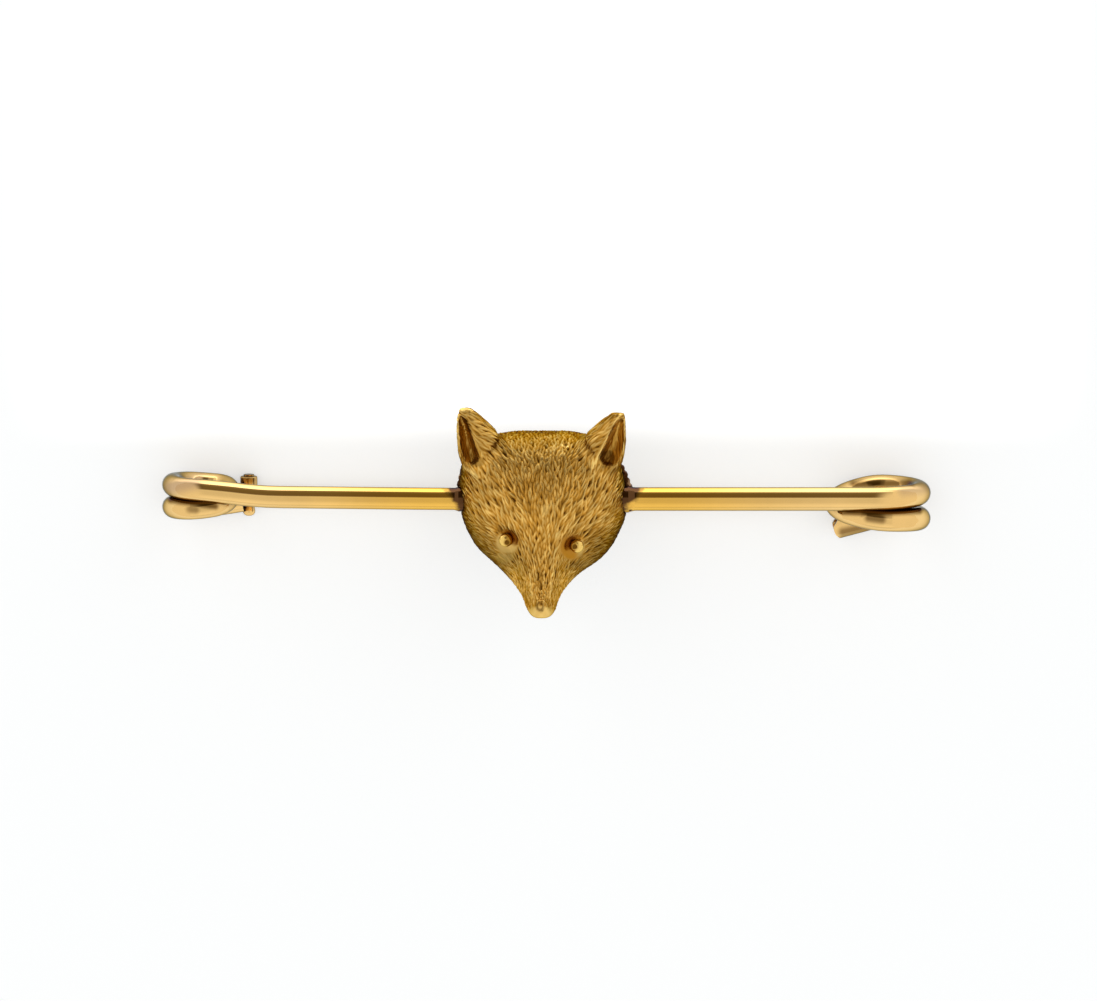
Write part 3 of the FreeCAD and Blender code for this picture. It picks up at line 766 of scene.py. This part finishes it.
def makeFox():
    head = remeshedHead()
    places, normals, edges = meshArrays(head.data)
    print("stage: head skin of", len(places), "points")
    across, up = seenPlaces(places)
    outside = outsideMask(places, normals)
    hollow = np.maximum(hollowMask(across, up, leftHollowRows), hollowMask(across, up, rightHollowRows))
    # The walls of the hollows lie further in, behind their edges
    leftInner = hollowMask(across - 0.3, up, leftHollowRows)
    rightInner = hollowMask(across + 0.3, up, rightHollowRows)
    inner = np.maximum(leftInner, rightInner)
    sockets = np.zeros(len(places))
    for eye in eyeRows:
        sockets = np.maximum(sockets, spotMask(across, up, eye["socket"], 1.1))
    masks = {"outside": outside, "hollow": hollow, "inner": inner, "sockets": sockets}
    places, filled, eyes = shapeHead(places, normals, edges, masks, across, up)
    setPlaces(head.data, places)
    places, normals, edges = meshArrays(head.data)
    print("stage: ears, sockets and eyes")
    outside = np.maximum(outside, outsideMask(places, normals) * softStep(1.0, 1.6, up))
    # painted shade on the crown, the sides, the jaw and the ears, by the way the skin faces
    paintedFacingShade = smoothedMask(paintedFacingShadeMask(across, up, normals), edges, 0.5, 10)

    smooth = np.zeros(len(places))
    for eye in eyeRows:
        smooth = np.maximum(smooth, spotMask(across, up, eye["socket"]))
    for *spot, share in smoothRows:
        smooth = np.maximum(smooth, spotMask(across, up, spot) * share)
    furry = outside * (1 - smooth) * (1 - 0.45 * hollow)
    furry = smoothedMask(furry, edges, 0.5, 4)
    seeds = tuftSeeds(places, normals, across, up, furry)
    print("stage:", len(seeds[0]), "tufts of fur")
    height, tone = combFur(places, normals, seeds)
    relief = smoothedMask(height, edges, 0.35, 1)
    places = places + normals * ((relief - fox["sunk"]) * furry * fox["tuftRelief"])[:, None]
    # the raised edges and strands, which are also painted as highlights in the colours below
    paintedHighlight = raisedHighlights(across, up, normals)
    places = places + normals * (paintedHighlight * fox["litRelief"])[:, None]
    # cuts the dents and the nose mark, and finds the points that are painted dark as shade
    places, paintedDark = cutDents(places, normals, across, up)
    # No tuft stands out of the CAD part's box
    places = np.clip(places, np.array(cadBox[0]) * 1000, np.array(cadBox[1]) * 1000)
    setPlaces(head.data, places)

    # What the gold's colours follow
    height = places[:, 2] - view["barAxis"][2] * 1000
    plain = 0.62 + 0.25 * smooth
    shown = relief * furry + plain * (1 - furry)
    within = hollow * 0.40 * outside + (1 - outside) * (normals[:, 2] > -0.3) * 0.8
    looks = {
        # the tufts' height, with painted highlights along the raised edges and strands
        "relief": np.clip(shown + 0.55 * paintedHighlight, 0, 1),
        "tone": smoothedMask(tone, edges, 0.5, 1),
        "hollow": np.clip(within, 0, 1) * (1 - paintedHighlight),
        "clear": np.clip(1 - 0.8 * hollow - 0.9 * sockets - 0.9 * filled, 0, 1),
        # painted shade on the crown, the sides, the jaw and the ears
        "paintedFacingShade": paintedFacingShade * (1 - eyes["ball"]) * (1 - 0.8 * paintedHighlight),
        "ball": eyes["ball"],
        # painted highlight on the eyes' balls, and painted shade in their sockets
        "glint": eyes["glint"],
        "socket": eyes["socket"],
        # the pupils, with painted shade in the dents, the ring on the nose and the places of painted shade
        "pupil": np.clip(eyes["pupil"] + 0.8 * paintedDark * (1 - 0.7 * paintedHighlight), 0, 1),
        "backEdge": (1 - softStep(-0.5, 2.4, height)) * (1 - 0.7 * softStep(3.0, 4.5, up)),
    }
    for name, values in looks.items():
        layer = head.data.attributes.new(name, "FLOAT", "POINT")
        layer.data.foreach_set("value", values.astype(np.float32))
    thinned(head, np.clip(outside + hollow, 0, 1))
    finishMesh(head.data, bloomedGold())
    print("stage: fox head of", len(head.data.polygons), "faces")
    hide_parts("fox_head")
    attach(head, "root")


# Matte gold of the head, with a colour for each kind of place on it
bloomed = {
    "valley": (0.095, 0.034, 0.003),      # between the tufts, on their sides and on their crests
    "slope": (0.56, 0.27, 0.034),
    "crest": (1.0, 0.69, 0.225),
    "slopeAt": 0.48,                      # how high on a tuft that is, from 0 to 1
    "valleyBelow": 0.10,
    "crestAbove": 0.92,
    "hollow": (0.74, 0.41, 0.070),
    # painted shade round the eyes' balls, darker on one side
    "socket": (0.46, 0.21, 0.026),
    # the pupils, and the painted shade in the dents, the ring on the nose and the places of painted shade
    "pupil": (0.16, 0.070, 0.008),
    "ball": (0.46, 0.25, 0.038),
    # painted highlight on one side of each eye's ball
    "glint": (0.93, 0.64, 0.19),
    "backEdge": (0.055, 0.034, 0.012),
    "tuftTones": (0.78, 1.22),            # how the tufts differ in brightness
    "patchScale": 420.0,                  # of the noise; a larger number is finer
    "patchTones": (0.82, 1.12),
    # how dark the painted shade on the crown, the sides, the jaw and the ears is
    "paintedFacingShadeDepth": 0.5,
    "edgeTint": (0.30, 0.28, 0.20),       # how the gold darkens where it turns away
    "roughness": 0.33,
    "ballRoughness": 0.26,
    "dirtAndShadeShare": 0.45,                    # how dark the dirt and painted shade in the corners are
    "dirtAndShadeReach": 0.0006,                  # and how far they reach, metres
    "grainScale": 9000.0,                 # fine bumps all over
    "grainDepth": 0.22,
}


def attribute(tree, name, place):
    return addNode(tree, "ShaderNodeAttribute", place, attribute_name=name).outputs["Fac"]


def spottyNoise(tree, coordinates, size, detail, place, **values):
    node = addNode(tree, "ShaderNodeTexNoise", place, Scale=size, Detail=detail, **values)
    tree.links.new(coordinates, node.inputs["Vector"])
    return node.outputs["Fac"]


def scaledColour(tree, colour, factor, place):
    node = addNode(tree, "ShaderNodeVectorMath", place, operation="SCALE")
    tree.links.new(colour, node.inputs[0])
    tree.links.new(factor, node.inputs["Scale"])
    return node.outputs[0]


def bumped(tree, shader, height, distance, strength, place):
    bump = addNode(tree, "ShaderNodeBump", place, Distance=distance)
    bump.inputs["Strength"].default_value = strength
    tree.links.new(height, bump.inputs["Height"])
    tree.links.new(bump.outputs[0], shader.inputs["Normal"])


def goldShader(name):
    material = bpy.data.materials.new(name)
    material.use_nodes = True
    shader = material.node_tree.nodes["Principled BSDF"]
    shader.inputs["Metallic"].default_value = 1.0
    return material, material.node_tree, shader


def cornerDirtAndShade(tree, reach, low, high, place):
    # Dirt and painted shade: 1 deep in a corner, 0 in the open
    shade = addNode(tree, "ShaderNodeAmbientOcclusion", place, samples=6)
    shade.inputs["Distance"].default_value = reach
    return mapRange(tree, shade.outputs["AO"], low, high, 1.0, 0.0, (place[0] + 200, place[1]))


def bloomedGold():
    material, tree, shader = goldShader("bloomedGold")
    shader.inputs["Specular Tint"].default_value = (*bloomed["edgeTint"], 1)
    coordinates = addNode(tree, "ShaderNodeTexCoord", (-1700, 0)).outputs["Object"]
    ramp = addNode(tree, "ShaderNodeValToRGB", (-1200, 200))
    bands = ramp.color_ramp
    bands.elements[0].position = bloomed["valleyBelow"]
    bands.elements[0].color = (*bloomed["valley"], 1)
    bands.elements[1].position = bloomed["crestAbove"]
    bands.elements[1].color = (*bloomed["crest"], 1)
    middle = bands.elements.new(bloomed["slopeAt"])
    middle.color = (*bloomed["slope"], 1)
    tree.links.new(attribute(tree, "relief", (-1400, 200)), ramp.inputs[0])
    # Each tuft has a tone, patches drift over them, and painted shade darkens the crown and the sides
    tone = attribute(tree, "tone", (-1400, 0))
    tone = mapRange(tree, tone, 0.0, 1.0, *bloomed["tuftTones"], (-1200, 0))
    patch = spottyNoise(tree, coordinates, bloomed["patchScale"], 3.0, (-1400, -200), Roughness=0.6)
    patch = mapRange(tree, patch, 0.3, 0.7, *bloomed["patchTones"], (-1200, -200))
    paintedFacingShade = attribute(tree, "paintedFacingShade", (-1400, -330))
    paintedShadeFactor = mapRange(tree, paintedFacingShade, 0.0, 1.0, 1.0, 1 - bloomed["paintedFacingShadeDepth"], (-1200, -330))
    shade = maths(tree, "MULTIPLY", tone, patch, (-1000, -100))
    shade = maths(tree, "MULTIPLY", shade, paintedShadeFactor, (-900, -100))
    colour = scaledColour(tree, ramp.outputs[0], shade, (-800, 200))
    # dirt and painted shade in the corners, in the colour of the valleys
    dirtAndShade = cornerDirtAndShade(tree, bloomed["dirtAndShadeReach"], 0.25, 0.85, (-1400, -450))
    dirtAndShade = maths(tree, "MULTIPLY", dirtAndShade, attribute(tree, "clear", (-1200, -600)), (-1100, -450))
    dirtAndShade = maths(tree, "MULTIPLY", dirtAndShade, bloomed["dirtAndShadeShare"], (-1000, -450))
    colour = mixColours(tree, dirtAndShade, colour, bloomed["valley"], (-600, 200))
    # among these, the glint is a painted highlight, and the socket and pupil masks carry painted shade
    for number, name in enumerate(("hollow", "ball", "glint", "socket", "pupil", "backEdge")):
        mask = attribute(tree, name, (-800, -100 - 150 * number))
        colour = mixColours(tree, mask, colour, bloomed[name], (-450 + 120 * number, 200))
    tree.links.new(colour, shader.inputs["Base Color"])
    ball = attribute(tree, "ball", (-800, -1000))
    rough = mapRange(tree, ball, 0.0, 1.0, bloomed["roughness"], bloomed["ballRoughness"], (-600, -1000))
    tree.links.new(rough, shader.inputs["Roughness"])
    grain = spottyNoise(tree, coordinates, bloomed["grainScale"], 2.0, (-1400, -800))
    bumped(tree, shader, grain, 0.00002, bloomed["grainDepth"], (-300, -400))
    return material


# Polished gold of the wire, the pin and the rivet
polished = {
    "nearHead": (0.93, 0.55, 0.095),
    "farFromHead": (0.94, 0.625, 0.24),
    "edgeTint": (0.16, 0.17, 0.12),       # how the gold darkens where it turns away
    "stain": (0.060, 0.014, 0.003),
    # dirt and painted shade in the corners and between the coils' turns
    "dirtAndShade": (0.13, 0.045, 0.006),
    # painted shade where the wire mirrors dark
    "paintedWireShade": (0.17, 0.078, 0.006),
    # painted shade on the coils' ends
    "paintedEndShade": (0.50, 0.33, 0.20),
    "roughness": 0.09,
    "stainedRoughness": 0.16,
    "headMiddle": -0.0002,                # X from which the bar's colours are measured, metres
    "paleFrom": 0.008,                    # where the gold turns paler along the bar
    "paleTo": 0.022,
    "stainReach": 0.0069,                 # how far the fire stain goes from the head's middle
    "stainRagged": 0.0016,                # how far its edge wanders
    "stainFade": 0.0006,
    "stainDepth": 0.95,
    "stainTop": 0.0009,                   # how much further the stain runs on the bar's upper side
    "stainLow": 0.0040,                   # only above this height, so not on the pin
    "dirtAndShadeReach": 0.0026,
    "patchScale": 160.0,
    "patchTones": (0.93, 1.04),
    "film": 0.30,                         # thin clear film that pales the highlights
    "filmIor": 1.55,
    "filmRoughness": 0.05,
    "drawnLines": (25, 2400, 2400),       # faint lines that the drawplate left, along the bar
    "drawnDepth": 0.05,
}
# Painted shade where the wire mirrors dark: between the turns of the coils, inside the right loop, in the
# catch and on the hinge. In millimetres from the middle of
# the bar: from (across, up) and to (across, up), half width, how strong, and the heights that it lies between
paintedWireShadeRows = (
    (-28.3, -0.10, -24.9, -0.56, 0.24, 0.95, -7.0, 2.0),       # left coil, under the upper turn
    (-26.8, -0.76, -26.4, -0.80, 0.30, 0.65, -7.0, 2.0),
    (22.4, -1.02, 23.7, -1.08, 0.20, 0.95, -7.0, 2.0),         # right coil, under the upper turn
    (23.7, -1.08, 28.1, -0.92, 0.24, 0.95, -7.0, 2.0),
    (24.2, -1.42, 25.2, -1.55, 0.30, 0.80, -7.0, 2.0),
    (23.3, 1.10, 27.4, 1.22, 0.32, 0.92, -7.0, -0.9),          # inside its loop
    (22.5, -2.50, 24.3, -2.12, 0.34, 0.80, -7.0, -1.2),        # catch
    (-22.85, 1.55, -22.45, 1.50, 0.36, 0.75, -7.0, 0.6),       # hinge
)
# Painted shade on the coils' ends, dimming the bright band that they mirror, in the same way
paintedEndShadeRows = (
    (-28.4, 0.85, -26.4, 1.30, 0.62, 0.75, -7.0, 2.0),
    (26.9, 0.70, 28.6, 0.90, 0.50, 0.55, -7.0, 2.0),
)


def paintedShadeSpot(tree, across, up, high, row, place):
    # 1 near the line between two places, as the camera sees it, and between two heights
    def work(operation, first, second):
        return maths(tree, operation, first, second, place)

    x0, y0, x1, y1, half, share, lowest, highest = row
    length = math.hypot(x1 - x0, y1 - y0)
    wayX = (x1 - x0) / length
    wayY = (y1 - y0) / length
    dx = work("SUBTRACT", across, x0)
    dy = work("SUBTRACT", up, y0)
    along = work("ADD", work("MULTIPLY", dx, wayX), work("MULTIPLY", dy, wayY))
    beside = work("SUBTRACT", work("MULTIPLY", dy, wayX), work("MULTIPLY", dx, wayY))
    # How far past either end, and how far to the side
    middle = work("ABSOLUTE", work("SUBTRACT", along, length / 2), 0.0)
    off = work("MAXIMUM", work("SUBTRACT", middle, length / 2), 0.0)
    away = work("ADD", work("MULTIPLY", off, off), work("MULTIPLY", beside, beside))
    away = work("SQRT", away, 0.0)
    near = mapRange(tree, away, 0.15 * half, 1.70 * half, share, 0.0, place, smooth=True)
    above = mapRange(tree, high, lowest, lowest + 0.1, 0.0, 1.0, place)
    below = mapRange(tree, high, highest, highest + 0.4, 1.0, 0.0, place)
    return work("MULTIPLY", work("MULTIPLY", near, above), below)


def paintedShadeMask(tree, parts, rows, place):
    # The place in millimetres from the middle of the bar, as the camera sees it
    def work(operation, first, second):
        return maths(tree, operation, first, second, place)

    axis = view["barAxis"]
    across = work("MULTIPLY", parts.outputs["X"], 1000.0)
    y = work("MULTIPLY", work("SUBTRACT", parts.outputs["Y"], axis[1]), 1000.0)
    z = work("MULTIPLY", work("SUBTRACT", parts.outputs["Z"], axis[2]), 1000.0)
    up = work("ADD", work("MULTIPLY", y, viewUp.y), work("MULTIPLY", z, viewUp.z))
    mask = 0.0
    for number, row in enumerate(rows):
        lower = place[1] - 150 * number
        spot = paintedShadeSpot(tree, across, up, z, row, (place[0], lower))
        mask = maths(tree, "MAXIMUM", spot, mask, (place[0] + 200, lower))
    return mask


def fireStain(tree, coordinates, parts, away):
    # 1 where the bar was heated to solder it into the head, with a ragged edge
    ragged = spottyNoise(tree, coordinates, 1100.0, 3.0, (-1500, -200))
    wander = maths(tree, "MULTIPLY", ragged, polished["stainRagged"], (-1300, -200))
    axisY = view["barAxis"][1]
    top = polished["stainTop"]
    upper = mapRange(tree, parts.outputs["Y"], axisY - 0.0002, axisY + 0.0006, 0.0, top, (-1300, -350))
    edge = maths(tree, "ADD", away, wander, (-1100, -200))
    edge = maths(tree, "SUBTRACT", edge, upper, (-950, -250))
    reach = polished["stainReach"]
    faded = reach + polished["stainFade"]
    stain = mapRange(tree, edge, reach, faded, polished["stainDepth"], 0.0, (-800, -250), smooth=True)
    low = polished["stainLow"]
    bar = mapRange(tree, parts.outputs["Z"], low, low + 0.0005, 0.0, 1.0, (-800, -400))
    return maths(tree, "MULTIPLY", stain, bar, (-650, -250))


def polishedGold():
    material, tree, shader = goldShader("polishedGold")
    shader.inputs["Specular Tint"].default_value = (*polished["edgeTint"], 1)
    shader.inputs["Coat Weight"].default_value = polished["film"]
    shader.inputs["Coat IOR"].default_value = polished["filmIor"]
    shader.inputs["Coat Roughness"].default_value = polished["filmRoughness"]
    coordinates = addNode(tree, "ShaderNodeTexCoord", (-1900, 0)).outputs["Object"]
    parts = addNode(tree, "ShaderNodeSeparateXYZ", (-1700, 0))
    tree.links.new(coordinates, parts.inputs[0])
    shifted = maths(tree, "SUBTRACT", parts.outputs["X"], polished["headMiddle"], (-1500, 0))
    away = maths(tree, "ABSOLUTE", shifted, 0.0, (-1350, 0))
    paleFrom = polished["paleFrom"]
    paleTo = polished["paleTo"]
    pale = mapRange(tree, away, paleFrom, paleTo, 0.0, 1.0, (-1200, 200), smooth=True)
    colour = mixColours(tree, pale, polished["nearHead"], polished["farFromHead"], (-1000, 200))
    patch = spottyNoise(tree, coordinates, polished["patchScale"], 4.0, (-1350, 400), Roughness=0.6)
    patch = mapRange(tree, patch, 0.35, 0.7, *polished["patchTones"], (-1150, 400))
    colour = scaledColour(tree, colour, patch, (-800, 200))
    # dirt and painted shade in the corners
    dirtAndShade = cornerDirtAndShade(tree, polished["dirtAndShadeReach"], 0.28, 0.82, (-1100, -500))
    colour = mixColours(tree, dirtAndShade, colour, polished["dirtAndShade"], (-550, 200))
    # painted shade on the coils' ends, dimming the bright band that they mirror
    paintedEndShade = paintedShadeMask(tree, parts, paintedEndShadeRows, (-1500, -2400))
    colour = mixColours(tree, paintedEndShade, colour, polished["paintedEndShade"], (-500, 200))
    # painted shade where the wire mirrors dark: between the turns, inside the loop, in the catch and on the
    # hinge
    paintedWireShade = paintedShadeMask(tree, parts, paintedWireShadeRows, (-1500, -900))
    colour = mixColours(tree, paintedWireShade, colour, polished["paintedWireShade"], (-475, 200))
    stain = fireStain(tree, coordinates, parts, away)
    colour = mixColours(tree, stain, colour, polished["stain"], (-400, 200))
    tree.links.new(colour, shader.inputs["Base Color"])
    clear = polished["roughness"]
    rough = mapRange(tree, stain, 0.0, 1.0, clear, polished["stainedRoughness"], (-400, -200))
    tree.links.new(rough, shader.inputs["Roughness"])
    stretch = addNode(tree, "ShaderNodeMapping", (-900, -750))
    stretch.inputs["Scale"].default_value = polished["drawnLines"]
    tree.links.new(coordinates, stretch.inputs["Vector"])
    lines = spottyNoise(tree, stretch.outputs[0], 1.0, 2.0, (-700, -750))
    bumped(tree, shader, lines, 0.00001, polished["drawnDepth"], (-300, -600))
    return material


# Rough solder behind the head, where it is fixed to the bar. Lengths in millimetres
solder = {
    "voxel": 0.06,
    "lumpiness": 0.07,
    "lumpSize": 0.28,
    "colour": (0.055, 0.020, 0.006),
    "paleColour": (0.42, 0.26, 0.14),
    "spotScale": 1500.0,
    "roughness": 0.38,
}
# Its lumps: x, y, z, radius
solderRows = (
    (5.62, 2.75, 6.35, 0.26),
    (5.80, 2.25, 6.40, 0.33),
    (5.95, 1.75, 6.45, 0.36),
    (6.08, 1.30, 6.50, 0.42),
    (6.15, 0.85, 6.75, 0.46),
    (6.18, 0.30, 7.15, 0.34),
    (6.20, -0.15, 7.05, 0.30),
    (-6.28, 2.55, 6.25, 0.24),
    (-6.38, 2.05, 6.30, 0.28),
    (-6.48, 1.55, 6.35, 0.28),
    (-6.55, 1.10, 6.45, 0.27),
)


def stainedSolder():
    material, tree, shader = goldShader("stainedSolder")
    coordinates = addNode(tree, "ShaderNodeTexCoord", (-900, 0)).outputs["Object"]
    spots = spottyNoise(tree, coordinates, solder["spotScale"], 3.0, (-700, 0))
    pale = mapRange(tree, spots, 0.56, 0.70, 0.0, 1.0, (-500, 0), smooth=True)
    colour = mixColours(tree, pale, solder["colour"], solder["paleColour"], (-300, 0))
    tree.links.new(colour, shader.inputs["Base Color"])
    shader.inputs["Roughness"].default_value = solder["roughness"]
    return material


def makeSolder():
    build = bmesh.new()
    for x, y, z, radius in solderRows:
        middle = Matrix.Translation((x, y, z))
        bmesh.ops.create_icosphere(build, subdivisions=3, radius=radius, matrix=middle)
    mesh = bpy.data.meshes.new("solderSeam")
    build.to_mesh(mesh)
    build.free()
    seam = bpy.data.objects.new("solderSeam", mesh)
    remeshInto(seam, solder["voxel"])
    places, normals, edges = meshArrays(seam.data)
    lumps = np.array([noise.noise(Vector(place / solder["lumpSize"])) for place in places])
    places = smoothed(places, edges, np.full(len(places), 0.5), 2)
    places += normals * (lumps * solder["lumpiness"])[:, None]
    setPlaces(seam.data, places)
    finishMesh(seam.data, stainedSolder())
    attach(seam, "root")
    print("stage: solder of", len(seam.data.polygons), "faces")


makeFox()
makeSolder()
gold = polishedGold()
for name in ("bar_wire", "pin_stem", "hinge_rivet"):
    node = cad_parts[name]
    node.data.materials.clear()
    node.data.materials.append(gold)
print("stage: wire, pin and rivet finished")
